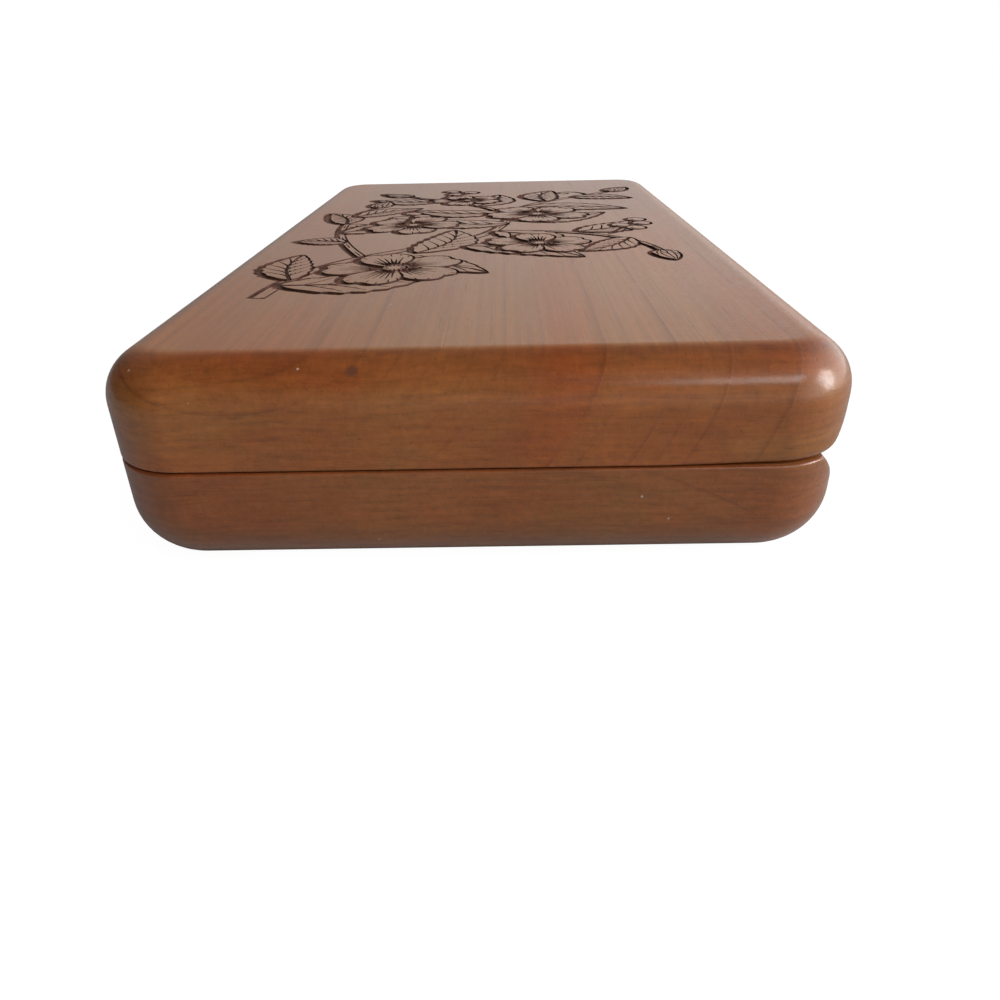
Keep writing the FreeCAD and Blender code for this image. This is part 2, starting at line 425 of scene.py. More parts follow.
def hollow_cutter(side_wall, closed_level, form):
    """A rounded block as large as a hollow, flared at the seam for the rim's chamfer."""
    half_x = HALF_WIDTH - side_wall
    half_y = HALF_LENGTH - form.end_wall
    way_out = math.copysign(1.0, SEAM - closed_level)
    mouth = SEAM - way_out * form.rim_chamfer
    low, high = sorted((closed_level, mouth))
    cutter = add_block("cutter", (-half_x, -half_y, low), (half_x, half_y, high))
    bevel_edges(cutter, is_upright, form.hollow_radius, HOLLOW_STEPS)
    flare = 2 * form.rim_chamfer
    pick(cutter, at_level(mouth), "FACE")
    bpy.ops.mesh.extrude_region_move(TRANSFORM_OT_translate={"value": (0.0, 0.0, way_out * flare)})
    bpy.ops.transform.resize(value=((half_x + flare) / half_x, (half_y + flare) / half_y, 1.0))
    bpy.ops.object.mode_set(mode="OBJECT")
    return cutter


def slot_cutter(runner, form):
    """A dovetail slot's shape: the tapered cutter's round end drawn out past the +Y end."""
    low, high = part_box(runner)
    centre = Vector(((low.x + high.x) / 2, -HALF_LENGTH + form.end_wall + form.slot_floor_width / 2))
    slope = (form.slot_floor_width - form.slot_mouth_width) / 2 / form.slot_depth
    over = MM
    low_radius, high_radius = form.slot_floor_width / 2, form.slot_mouth_width / 2 - slope * over
    cutter = add_cone("cutter", low_radius, high_radius, SEAM - form.slot_depth, SEAM + over, centre)
    pick(cutter, lambda vertex: vertex.co.y > centre.y + CLOSE, "VERT")
    bpy.ops.transform.translate(value=(0.0, 2 * HALF_LENGTH, 0.0))
    bpy.ops.object.mode_set(mode="OBJECT")
    return cutter


def magnet_cutters(node):
    """Seats for the magnets of one half, a little wider than the magnets."""
    low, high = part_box(node)
    half, play = (high.y - low.y) / 2, 0.05 * MM
    radius, centre_y = half + play, (low.y + high.y) / 2
    levels = (low.z, SEAM + MM) if high.z < SEAM else (SEAM - MM, high.z)
    places = [(x, centre_y) for x in (low.x + half, high.x - half)]
    return [add_cone("cutter", radius, radius, *levels, place) for place in places]


def add_lid(form, materials):
    """Adds the lid without its engraving."""
    lid = add_block("lid", LID_LOW, LID_HIGH)
    bevel_edges(lid, is_upright, form.corner_radius, CORNER_STEPS)
    bevel_edges(lid, at_level(TOP), form.top_round, EDGE_STEPS)
    divide_ends(lid)
    bevel_edges(lid, at_level(SEAM), form.side_ease, EASE_STEPS)
    narrow_ease(lid, form)
    press_groove(lid, HALF_WIDTH, form.grip_height_lid, form.grip_bulge_lid, form.grip_blend_lid, form)
    relieve_rim(lid, form)
    for material in materials:
        lid.data.materials.append(material)
    hollow = hollow_cutter(form.lid_side_wall, TOP - form.lid_roof, form)
    cut_away(lid, [hollow, *magnet_cutters("lid_magnets")], materials[BARE_SLOT])
    return lid


def add_tray(form, outside, inside):
    """Adds the tray with its dovetail slots."""
    tray = add_block("tray", TRAY_LOW, TRAY_HIGH)
    bevel_edges(tray, is_upright, form.corner_radius, CORNER_STEPS)
    bevel_edges(tray, at_level(TRAY_LOW.z), form.foot_round, EDGE_STEPS)
    bevel_edges(tray, at_level(SEAM), form.seam_ease, SEAM_STEPS)
    height, bulge, softness = -form.grip_height_tray, form.grip_bulge_tray, form.grip_blend_tray
    press_groove(tray, TRAY_HIGH.x, height, bulge, softness, form)
    tray.data.materials.append(outside)
    hollow = hollow_cutter(form.tray_side_wall, form.tray_floor, form)
    slots = [slot_cutter(runner, form) for runner in ("left_runner", "right_runner")]
    cut_away(tray, [hollow, *slots, *magnet_cutters("tray_magnets")], inside)
    return tray


# The engraving is drawn flat, in millimetres


def turned(points, place, degrees, squash=1.0):
    """Points turned about the origin and moved to a place."""
    c, s = math.cos(math.radians(degrees)), math.sin(math.radians(degrees))
    return [
        Vector((place[0] + x * c - y * squash * s, place[1] + x * s + y * squash * c)) for x, y in points
    ]


def curve(start, first_pull, second_pull, end, steps=16):
    """Points along a curve that leaves its start and reaches its end towards the two pulls."""
    a, b, c, d = (Vector(point) for point in (start, first_pull, second_pull, end))
    shares = [step / steps for step in range(steps + 1)]
    return [
        a * (1 - t) ** 3 + b * 3 * t * (1 - t) ** 2 + c * 3 * t * t * (1 - t) + d * t**3 for t in shares
    ]


def ring(centre, radius, count=16):
    """Points spread evenly round a circle."""
    bearings = [2 * math.pi * number / count for number in range(count)]
    return [Vector((centre[0] + radius * math.cos(a), centre[1] + radius * math.sin(a))) for a in bearings]


def far_weight(y):
    """How much heavier lines get towards the far end, so that they read as well as the near ones."""
    fade_from, fade_over, gain = -20, 80, 0.7
    return blend(1, 1 + gain, (y - fade_from) / fade_over)


def side_lines(points, width, tip_width, closed=False):
    """The two sides of a line that tapers from one width to another."""
    last = len(points) - 1
    left, right = [], []
    for number, point in enumerate(points):
        before = points[number - 1] if number or closed else point
        after = points[(number + 1) % len(points)] if number < last or closed else point
        run = (after - before).normalized()
        half = Vector((-run.y, run.x)) * blend(width, tip_width, number / last) / 2
        left.append(point + half)
        right.append(point - half)
    return left, right


class Engraving:
    """Areas in the order they are drawn, so that each hides what lies under it."""

    def __init__(self, seed):
        self.areas = []
        self.chance = random.Random(seed)

    def cover(self, outline):
        """Plain wood that hides the lines under it."""
        self.areas.append((PLAIN, outline))

    def stroke(self, points, width, tip_width=None, kind=BURNT, closed=False):
        """A line that tapers from one width to another, as a chain of four-sided areas."""
        weight = far_weight(points[0].y)
        tip_width = width if tip_width is None else tip_width
        sides = list(zip(*side_lines(points, width * weight, tip_width * weight, closed)))
        if closed:
            sides.append(sides[0])
        for (a, b), (c, d) in zip(sides, sides[1:]):
            self.areas.append((kind, [a, b, d, c]))

    def shadow(self, outline, shift=(-0.5, -0.6), width=1.5, carved=0.7):
        """A deep carved line along the lower left of a shape that is drawn next."""
        moved = [point + Vector(shift) for point in outline]
        self.stroke(moved, width, closed=True)
        self.stroke(moved, carved, kind=CARVED, closed=True)

    def shape(self, outline, line, *shadow):
        """A shape with a shadow and an outline, which hides the lines under it."""
        self.shadow(outline, *shadow)
        self.cover(outline)
        self.stroke(outline, line, closed=True)


def leaf(engraving, root, degrees, length, width, bend, veins=6, teeth=8):
    """A toothed leaf with a midrib, side veins and short hatches on its shaded half."""
    steps = 3 * teeth

    def middle(t):
        return length * t, length * bend * math.sin(math.pi * t)

    def half_width(t):
        return width / 2 * math.sin(math.pi * t**0.8) ** 0.85 if 0 < t < 1 else 0.0

    def edge(side):
        points = []
        for step in range(steps + 1):
            t = step / steps
            tooth = 1 + 0.06 * (step % 3 - 1) * (0.1 < t < 0.95)
            x, y = middle(t)
            points.append((x, y + side * half_width(t) * tooth))
        return points

    def draw(points, width, tip_width):
        engraving.stroke(turned(points, root, degrees), width, tip_width)

    outline = turned(edge(1) + edge(-1)[-2:0:-1], root, degrees)
    engraving.shape(outline, 0.5)
    draw([middle(step / 12) for step in range(13)], 0.85, 0.25)
    for side in (1, -1):
        for number in range(1, veins + 1):
            start = number / (veins + 1.6)
            end = min(start + 0.2, 0.98)
            root_x, root_y = middle(start)
            run_x, run_y = middle(end)[0] - root_x, middle(end)[1] + side * half_width(end) * 0.84 - root_y

            def along(t):
                return root_x + run_x * t, root_y + run_y * t**1.25

            draw([along(t) for t in (0, 0.35, 0.7, 1)], 0.45, 0.2)
            for t in (0.2, 0.45, 0.7) if side < 0 else ():
                x, y = along(t)
                reach = length * 0.06 * (1.1 - t)
                draw([(x, y), (x + reach, y + 0.1 * reach)], 0.34, 0.16)


def petal_reach(share):
    """How far out a petal goes, across its width from -1 to 1, with a notch in the middle."""
    return math.cos(share * math.pi / 2) ** 0.33 * (1 - 0.1 * math.exp(-((share / 0.16) ** 2)))


def blossom(engraving, centre, radius, turn, squash, tilt):
    """An open flower of five overlapping petals, hatched from the middle, with stamens."""
    half_angle = math.radians(42)
    throat = 0.16
    rays = 12

    def put(points, degrees=0.0):
        return turned(turned(points, (0, 0), degrees), centre, tilt, squash)

    def ray(share, *reaches):
        bearing = half_angle * share
        return [(radius * r * math.cos(bearing), radius * r * math.sin(bearing)) for r in reaches]

    def hatch(share, width, degrees, *reaches):
        engraving.stroke(put(ray(share, *reaches), degrees), width, 0.16)

    for number in (0, 2, 4, 1, 3):
        degrees = turn + number * 72
        outline = ray(0.95, throat)
        for step in range(1 - rays, rays):
            share = step / rays
            outline += ray(-share, max(petal_reach(share), throat))
        outline = put(outline + ray(-0.95, throat), degrees)
        engraving.shape(outline, 0.5)
        for share in (-0.6, -0.38, -0.16, 0.06, 0.28, 0.5, 0.7):
            far = petal_reach(share) - 0.04
            hatch(share * 0.8, 0.62, degrees, 0.24, 0.4, 0.5 + 0.24 * engraving.chance.random())
            hatch(share, 0.34, degrees, far, far - 0.01 - 0.14 * engraving.chance.random())
        for share in (-0.7, -0.3, 0.1, 0.45):
            hatch(share * 0.8, 0.95, degrees, 0.2, 0.36)
    disc = put(ring((0, 0), radius * 0.17))
    engraving.shape(disc, 0.45, (-0.2, -0.2), 1.0, 0.4)
    for number, bearing in enumerate(ring((0, 0), radius, 14)):
        tip = 0.26 + 0.07 * (number % 2)
        engraving.stroke(put([bearing * 0.09, bearing * 0.18]), 0.4, 0.3)
        engraving.stroke(put([bearing * 0.18, bearing * tip]), 0.25)
        engraving.stroke(put([bearing * tip, bearing * (tip + 0.05)]), 0.8, 0.7)


def bud(engraving, root, degrees, length):
    """A closed bud with three pointed sepals."""
    half_width = length * 0.26

    def edge(share):
        steps = 14
        points = []
        for step in range(steps):
            t = step / steps
            points.append((length * t, share * half_width * math.sin(math.pi * t**0.75) ** 0.8))
        return points + [(length, 0.0)]

    outline = turned(edge(1) + edge(-1)[-2:0:-1], root, degrees)
    engraving.shape(outline, 0.45, (-0.5, -0.6), 1.4, 0.6)
    for share in (0.55, 0.1, -0.4):
        engraving.stroke(turned(edge(share)[4:-1], root, degrees), 0.4, 0.2)
    for side in (-1, 1, 0):
        tip = (length * (0.55 if side else 0.42), side * half_width * 0.8)
        upper = (length * 0.22, (side * 0.84 + 0.24) * half_width)
        lower = (length * 0.2, (side * 0.8 - 0.24) * half_width)
        sepal = turned([(0.0, 0.0), upper, tip, lower], root, degrees)
        engraving.cover(sepal)
        engraving.stroke(sepal, 0.42, closed=True)


def berries(engraving, root, places, radius=2.2):
    """Round berries, each on its own stalk from one root."""
    for place in places:
        engraving.stroke(curve(root, root, (place[0] + 1.6, place[1] - 1), place, 6), 0.6, 0.45)
    for place in places:
        outline = ring(place, radius)
        engraving.shape(outline, 0.45, (-0.3, -0.35), 1.1, 0.4)
        engraving.stroke(ring(place, radius * 0.6, 24)[13:21], 0.8, 0.2)


def stem(engraving, points, width, tip_width):
    """A stem with two edges, a shadow and short strokes along it."""
    left, right = side_lines(points, width, tip_width)
    outline = left + right[::-1]
    engraving.shadow(outline, (-0.4, -0.4), 1.1, 0.45)
    engraving.cover(outline)
    for edge in (left, right):
        engraving.stroke(edge, 0.4)
    for number in range(1, len(points) - 1, 2):
        engraving.stroke(points[number : number + 2], 0.36, 0.14)


def tendril(engraving, start, degrees, size, hand):
    """A tendril that curls up more and more tightly."""
    points = [Vector(start)]
    heading = math.radians(degrees)
    steps = 34
    for step in range(steps):
        share = step / steps
        stride = size * 0.085 * (1 - 0.72 * share)
        heading += hand * 0.42 * share**0.7
        points.append(points[-1] + Vector((math.cos(heading), math.sin(heading))) * stride)
    engraving.stroke(points, 0.9, 0.4)


def draw_spray():
    """A spray of five blossoms with buds, berries and toothed leaves, from the near left to the far end."""
    engraving = Engraving(7)
    crossing = (5, 14)
    main_stem = curve((-35, -58), (-30, -12), (2, -30), crossing, 24)
    main_stem += curve(crossing, (7, 38), (20, 44), (34, 57))[1:]
    left_stem = curve((-22, -31), (-33, -8), (-36, 8), (-29, 34))
    right_stem = curve((2, -3), (18, -3), (31, -10), (34, -26), 12)
    far_stem = curve((6, 18), (-2, 38), (-12, 44), (-22, 53), 12)
    for start, degrees, size, hand in (
        ((-33, -2), 30, 13, 1),
        ((17, 42), 160, 12, -1),
        ((20, -5), 70, 11, -1),
        ((27, 51), 100, 10, 1),
    ):
        tendril(engraving, start, degrees, size, hand)
    for points, width, tip_width in (
        (left_stem, 1.6, 1.0),
        (right_stem, 1.5, 1.0),
        (far_stem, 1.5, 1.0),
        (main_stem, 2.2, 1.3),
    ):
        stem(engraving, points, width, tip_width)
    for root, degrees, length, width, bend in (
        ((-34, -50), 18, 29, 12.5, -0.12),
        ((-33, -46), 96, 21, 9, 0.08),
        ((-24, -33), -22, 27, 11.5, 0.14),
        ((-29, -13), 170, 11, 7, -0.1),
        ((-32, -2), 22, 22, 10, 0.12),
        ((-33, 10), 112, 17, 8, -0.1),
        ((-32, 20), 38, 19, 9, 0.1),
        ((-13, -25), 76, 25, 11, -0.12),
        ((-4, -19), -28, 26, 11, 0.1),
        ((2, -3), -52, 23, 10.5, 0.12),
        ((20, -5), 40, 20, 9.5, -0.1),
        ((30, -13), -130, 17, 8, 0.1),
        ((5, 6), 160, 23, 10.5, 0.12),
        ((5, 12), 20, 25, 11, -0.12),
        ((4, 22), 165, 24, 10, 0.12),
        ((-3, 34), 74, 21, 10, -0.1),
        ((8, 30), -8, 27, 11, 0.1),
        ((-12, 44), 170, 20, 9, 0.12),
        ((15, 41), 82, 20, 9.5, 0.12),
        ((23, 48), -14, 16, 8.5, 0.1),
    ):
        leaf(engraving, root, degrees, length, width, bend)
    berries(engraving, (-22, 6), ((-21, 17), (-16, 19), (-18.5, 23)))
    berries(engraving, (26, -9), ((30, 2), (35, 4), (33, -1.5), (34.5, 9)))
    berries(engraving, (-14, 47), ((-10, 57), (-5.5, 60), (-11, 62.5)))
    for centre, radius, turn, squash, tilt in (
        ((-16, -38), 13.5, 15, 0.95, 20),
        ((11, -17), 11.5, 50, 0.88, -30),
        ((-17, 7), 12.0, 80, 0.9, 60),
        ((12, 20), 13.0, 0, 0.9, -20),
        ((-6, 45), 10.0, 30, 0.9, 10),
    ):
        blossom(engraving, centre, radius, turn, squash, tilt)
    for root, degrees, length in (
        ((-29, 34), 82, 11),
        ((-22, 53), 140, 11),
        ((34, 57), 58, 11),
        ((34, -26), -82, 9.5),
    ):
        bud(engraving, root, degrees, length)
    return engraving


def signed_area(corners):
    return sum(a.cross(b) for a, b in zip(corners, corners[1:] + corners[:1])) / 2


def fair_faces(corners):
    """An area as faces that turn left and don't cross themselves."""
    if len(corners) != 4:
        parts = [corners]
    else:
        turns = [(corners[n - 1] - corners[n - 2]).cross(corners[n] - corners[n - 1]) for n in range(4)]
        parts = [corners] if min(turns) > 0 else [corners[:3], [corners[0], *corners[2:]]]
    least = 1e-6
    parts = [part for part in parts if abs(signed_area(part)) > least]
    return [part if signed_area(part) > 0 else part[::-1] for part in parts]


def divide_along(points, edges, faces):
    """Divides the plane between points into triangles whose sides follow the edges and faces given."""
    whole_hull, merge_distance = 0, 1e-4
    places, _, triangles, point_sources, _, face_sources = delaunay_2d_cdt(
        points, edges, faces, whole_hull, merge_distance, True
    )
    return places, triangles, point_sources, face_sources


def divide_flat(outline, areas):
    """Divides a flat outline into triangles, each of the kind of the last area drawn over it."""
    points, faces, kinds = list(outline), [list(range(len(outline)))], [PLAIN]
    for kind, corners in areas:
        for part in fair_faces(corners):
            faces.append(list(range(len(points), len(points) + len(part))))
            points += part
            kinds.append(kind)
    places, triangles, point_sources, face_sources = divide_along(points, [], faces)
    return keep_borders(
        places,
        triangles,
        [kinds[max(sources)] for sources in face_sources],
        {min(sources): point for point, sources in enumerate(point_sources) if sources},
        len(outline),
    )


def keep_borders(places, triangles, kinds, point_of, outline_count):
    """Divides the same flat again, only along the edges where one kind meets another.

    The points of the outline come first, in their own order. Returns places, triangles, the points
    that each place stands for, and each triangle's kind.
    """
    on_left = {}
    for number, triangle in enumerate(triangles):
        for edge in zip(triangle, triangle[1:] + triangle[:1]):
            on_left[edge] = number
    borders = [
        (a, b)
        for (a, b), number in on_left.items()
        if (b, a) not in on_left or (a < b and kinds[number] != kinds[on_left[b, a]])
    ]
    rim = [point_of[number] for number in range(outline_count)]
    used = rim + sorted({point for edge in borders for point in edge} - set(rim))
    new_number = {point: number for number, point in enumerate(used)}
    edges = [(new_number[a], new_number[b]) for a, b in borders]
    new_places, new_triangles, sources, _ = divide_along([places[point] for point in used], edges, [])
    fine = BVHTree.FromPolygons([(*place, 0.0) for place in places], triangles)
    new_kinds = []
    for triangle in new_triangles:
        middle = sum((new_places[point] for point in triangle), Vector((0.0, 0.0))) / 3
        triangle_below = fine.ray_cast((*middle, 1.0), (0.0, 0.0, -1.0))[2]
        new_kinds.append(kinds[triangle_below])
    return new_places, new_triangles, sources, new_kinds


def wood_corners(triangles, kinds):
    """Joins the triangles' corners into points that belong to the upper or to the lower level."""
    leader = {}

    def find(corner):
        while leader.get(corner, corner) != corner:
            corner = leader[corner]
        return corner

    edges = {}
    for number, triangle in enumerate(triangles):
        for a, b in zip(triangle, triangle[1:] + triangle[:1]):
            edges[a, b] = number
        if kinds[number] != PLAIN:
            for point in triangle:
                leader[number, point] = ("lower", point)
    walls = []
    for (a, b), number in edges.items():
        across = edges.get((b, a))
        if across is None or kinds[number] != PLAIN:
            continue
        if kinds[across] != PLAIN:
            walls.append((a, b, number))
        elif number < across:
            for point in (a, b):
                leader[find((number, point))] = find((across, point))
    return find, walls


def engrave(lid, engraving, depth):
    """Cuts the engraving into the flat of the lid's top, with upright walls round the burnt lines."""
    mesh = bmesh.new()
    mesh.from_mesh(lid.data)
    flat = max(filter(at_level(TOP), mesh.faces), key=lambda face: face.calc_area())
    rim = list(flat.verts)
    mesh.faces.remove(flat)
    outline = [vertex.co.xy / MM for vertex in rim]
    places, triangles, sources, kinds = divide_flat(outline, engraving.areas)
    rim_of = {point: min(given) for point, given in enumerate(sources) if given and min(given) < len(rim)}
    find, walls = wood_corners(triangles, kinds)
    slots = {PLAIN: LACQUERED_SLOT, BURNT: BURNT_SLOT, CARVED: CARVED_SLOT}
    made = {}

    def vertex_at(number, point):
        if point in rim_of:
            return rim[rim_of[point]]
        corner = find((number, point))
        if corner not in made:
            level = TOP - depth if corner[0] == "lower" else TOP
            made[corner] = mesh.verts.new((*(places[point] * MM), level))
        return made[corner]

    for number, triangle in enumerate(triangles):
        face = mesh.faces.new([vertex_at(number, point) for point in triangle])
        face.material_index = slots[kinds[number]]
    for a, b, number in walls:
        upper = vertex_at(number, b), vertex_at(number, a)
        lower = [made["lower", point] for point in (a, b)]
        mesh.faces.new([*upper, *lower]).material_index = BURNT_SLOT
    mesh.normal_update()
    mesh.to_mesh(lid.data)
    mesh.free()


class Wiring:
    """Adds nodes to a shader tree and joins them up."""

    # Where the colour mixer's sockets stand, because their names repeat
    MIXER_INPUTS, MIXER_OUTPUT = (0, 6, 7), 2

    def __init__(self, tree):
        self.tree = tree

    def feed(self, socket, value):
        """Joins an output to a socket, or sets the socket's own value."""
        if isinstance(value, bpy.types.NodeSocket):
            self.tree.links.new(value, socket)
        else:
            socket.default_value = value

    def node(self, kind, inputs=(), **settings):
        """Adds a node and feeds its inputs, which are named or numbered."""
        made = self.tree.nodes.new(kind)
        for name, value in settings.items():
            setattr(made, name, value)
        for name, value in dict(inputs).items():
            self.feed(made.inputs[name], value)
        return made

    def math(self, operation, *values):
        return self.node("ShaderNodeMath", enumerate(values), operation=operation).outputs[0]

    def product(self, first, *others):
        for other in others:
            first = self.math("MULTIPLY", first, other)
        return first

    def total(self, first, *others):
        for other in others:
            first = self.math("ADD", first, other)
        return first

    def vector(self, operation, *values, output="Vector"):
        return self.node("ShaderNodeVectorMath", enumerate(values), operation=operation).outputs[output]

    def split(self, vector):
        made = self.node("ShaderNodeSeparateXYZ", {"Vector": vector})
        return [made.outputs[axis] for axis in "XYZ"]

    def grey(self, level):
        """One value three times over."""
        return self.node("ShaderNodeCombineXYZ", dict.fromkeys("XYZ", level)).outputs["Vector"]

    def cloud(self, vector, scale, detail=2.0, roughness=0.5, seed=0.0, output="Fac"):
        """Soft noise. The scale is for all axes or for each."""
        each = scale if isinstance(scale, tuple) else (scale,) * 3
        stretched = self.vector("MULTIPLY", vector, each)
        inputs = {"Vector": stretched, "Scale": 1.0, "Detail": detail, "Roughness": roughness, "W": seed}
        return self.node("ShaderNodeTexNoise", inputs, noise_dimensions="4D").outputs[output]

    def ramp(self, value, start, end, low=0.0, high=1.0, shape="SMOOTHSTEP"):
        """Goes softly from low to high while a value goes from start to end."""
        inputs = {"Value": value, "From Min": start, "From Max": end, "To Min": low, "To Max": high}
        return self.node("ShaderNodeMapRange", inputs, interpolation_type=shape).outputs["Result"]

    def slope(self, value, start, end, low, high):
        """Goes evenly from low to high while a value goes from start to end."""
        return self.ramp(value, start, end, low, high, "LINEAR")

    def mix(self, share, first, second, kind="MIX"):
        """Mixes two colours."""
        inputs = zip(self.MIXER_INPUTS, (share, first, second))
        mixer = self.node("ShaderNodeMix", inputs, data_type="RGBA", blend_type=kind, clamp_factor=True)
        return mixer.outputs[self.MIXER_OUTPUT]

    def group(self, name, build, inputs):
        """Adds a shared node group, which is built the first time that it is asked for."""
        if name not in bpy.data.node_groups:
            build(name)
        return self.node("ShaderNodeGroup", inputs, node_tree=bpy.data.node_groups[name]).outputs


def opaque(colour):
    return (*colour, 1.0)


def tinted(colour, tint):
    return opaque([a * b for a, b in zip(colour, tint)])


def new_group(name, inputs, outputs):
    """A shader node group with named inputs and outputs, and the wiring to fill it."""
    group = bpy.data.node_groups.new(name, "ShaderNodeTree")
    for way, sockets in (("INPUT", inputs), ("OUTPUT", outputs)):
        for label, kind in sockets.items():
            group.interface.new_socket(label, in_out=way, socket_type="NodeSocket" + kind)
    wiring = Wiring(group)
    return wiring, wiring.node("NodeGroupInput").outputs, wiring.node("NodeGroupOutput").inputs


# In the node groups and materials, a ramp's numbers are where it starts and ends and its two levels

# The timber's tints, which are inputs of its group and colours in the finish. Three paint light and shade:
# a paler +X side, a darker top edge and, in part, the end grain's darkening
TINTS = ("Red tint", "End grain and shade tint", "Lit side tint", "Shaded edge tint", "Streak tint")

# Radius and width of the lid's warm streak round the pith, and a streak too far out to show
LID_STREAK, NO_STREAK = (0.047, 0.005), (9.0, 1.0)


def build_timber(name):
    """Growth rings round a pith that lies along Y, with fibres, pores and end grain, and painted light and
    shade by facing: a paler +X side and a darker top edge.
    """
    inputs = {"Place": "Vector", "Facing": "Vector", "Early": "Color", "Late": "Color"}
    inputs |= dict.fromkeys(("Spacing", "Seed", "Streak radius", "Streak width"), "Float")
    inputs |= dict.fromkeys(TINTS, "Color")
    outputs = {"Colour": "Color", "Relief": "Float", "Dullness": "Float"}
    wiring, given, result = new_group(name, inputs, outputs)
    place, seed = given["Place"], given["Seed"]

    def cloud(vector, scale, detail=2.0, roughness=0.5, output="Fac"):
        return wiring.cloud(vector, scale, detail, roughness, seed, output)

    # Rings that waver, each with a dark line near its end
    waver, unevenness = 0.007, 0.006
    drift = wiring.vector("SUBTRACT", cloud(place, (14.0, 2.0, 14.0), output="Color"), (0.5, 0.5, 0.5))
    bent = wiring.vector("MULTIPLY_ADD", drift, (waver, waver, waver), place)
    radius = wiring.vector("LENGTH", wiring.vector("MULTIPLY", bent, (1.0, 0.0, 1.0)), output="Value")
    uneven = cloud(wiring.grey(radius), (160.0, 0.0, 0.0), 1.0)
    ring_place = wiring.total(radius, wiring.product(uneven, unevenness))
    phase = wiring.math("DIVIDE", ring_place, given["Spacing"])
    number, part = wiring.math("FLOOR", phase), wiring.math("FRACT", phase)
    chance = wiring.node("ShaderNodeTexWhiteNoise", {"W": number}, noise_dimensions="1D").outputs["Value"]
    rise, fall = wiring.ramp(part, 0.74, 0.95), wiring.ramp(part, 0.96, 1.0, 1.0, 0.0)
    strength = wiring.ramp(chance, 0.1, 1.0, 0.05, 1.0)
    patchy = wiring.ramp(cloud(place, (90.0, 30.0, 90.0), 3.0), 0.36, 0.6, 0.2, 1.0)
    line = wiring.product(rise, fall, strength, patchy)

    # What runs along the grain, and what shows across it on the end grain
    fibre = cloud(bent, (1100.0, 16.0, 1100.0), 4.0, 0.65)
    figure = cloud(place, (34.0, 9.0, 34.0), 3.0)
    pore = wiring.ramp(cloud(bent, (2600.0, 60.0, 2600.0), 1.0), 0.64, 0.74)
    ripple = cloud(bent, (130.0, 130.0, 1500.0), 4.0, 0.6)
    fleck = wiring.ramp(cloud(place, (330.0, 300.0, 2300.0)), 0.6, 0.7)

    # Where each tint shows. The +X side's paler tone is painted light, the top edge's darker tone is
    # painted shade, and the end grain's darkening is partly painted shade
    facing_x, facing_y, facing_z = wiring.split(given["Facing"])
    red = wiring.ramp(cloud(place, (40.0, 14.0, 85.0), 4.0, 0.62), 0.33, 0.62)
    # End grain, which the wood really darkens; the ramp starts at a slight tilt, so the top edge's rounding
    # gets painted shade too
    end_and_shade_mask = wiring.ramp(wiring.math("ABSOLUTE", facing_y), 0.03, 0.28)
    # Painted light: surfaces that face +X, towards the side light, get paler
    lit_side_mask = wiring.ramp(facing_x, 0.1, 0.6)
    # Painted shade: the top edge's rounding, half facing up over the end grain, gets darker and redder
    shaded_top_edge = wiring.product(wiring.ramp(facing_z, 0.25, 0.75), end_and_shade_mask)
    off_streak = wiring.math("ABSOLUTE", wiring.math("SUBTRACT", radius, given["Streak radius"]))
    in_streak = wiring.ramp(wiring.math("DIVIDE", off_streak, given["Streak width"]), 0.35, 1.0, 1.0, 0.0)
    streak = wiring.product(in_streak, wiring.ramp(figure, 0.35, 0.6, 0.5, 1.0))

    line_share, fleck_share, pore_share = 0.5, 0.16, 0.14
    marks = wiring.total(wiring.product(fleck, end_and_shade_mask, fleck_share), wiring.product(pore, pore_share))
    tone = wiring.product(
        wiring.slope(chance, 0.0, 1.0, 0.97, 1.03),
        wiring.slope(figure, 0.25, 0.75, 0.86, 1.14),
        wiring.slope(fibre, 0.3, 0.7, 0.84, 1.12),
        wiring.slope(end_and_shade_mask, 0.0, 1.0, 1.0, wiring.slope(ripple, 0.3, 0.7, 0.8, 1.18)),
        wiring.math("SUBTRACT", 1.0, marks),
    )
    colour = wiring.mix(wiring.product(line, line_share), given["Early"], given["Late"])
    colour = wiring.mix(1.0, colour, wiring.grey(tone), "MULTIPLY")
    for share, tint in zip((red, end_and_shade_mask, lit_side_mask, shaded_top_edge, streak), TINTS):
        colour = wiring.mix(share, colour, given[tint], "MULTIPLY")
    wiring.feed(result["Colour"], colour)
    relief = [wiring.product(*pair) for pair in ((fibre, 0.6), (pore, -0.5), (line, 0.25))]
    wiring.feed(result["Relief"], wiring.total(*relief))
    wiring.feed(result["Dullness"], wiring.total(wiring.product(figure, 0.6), wiring.product(fibre, 0.4)))


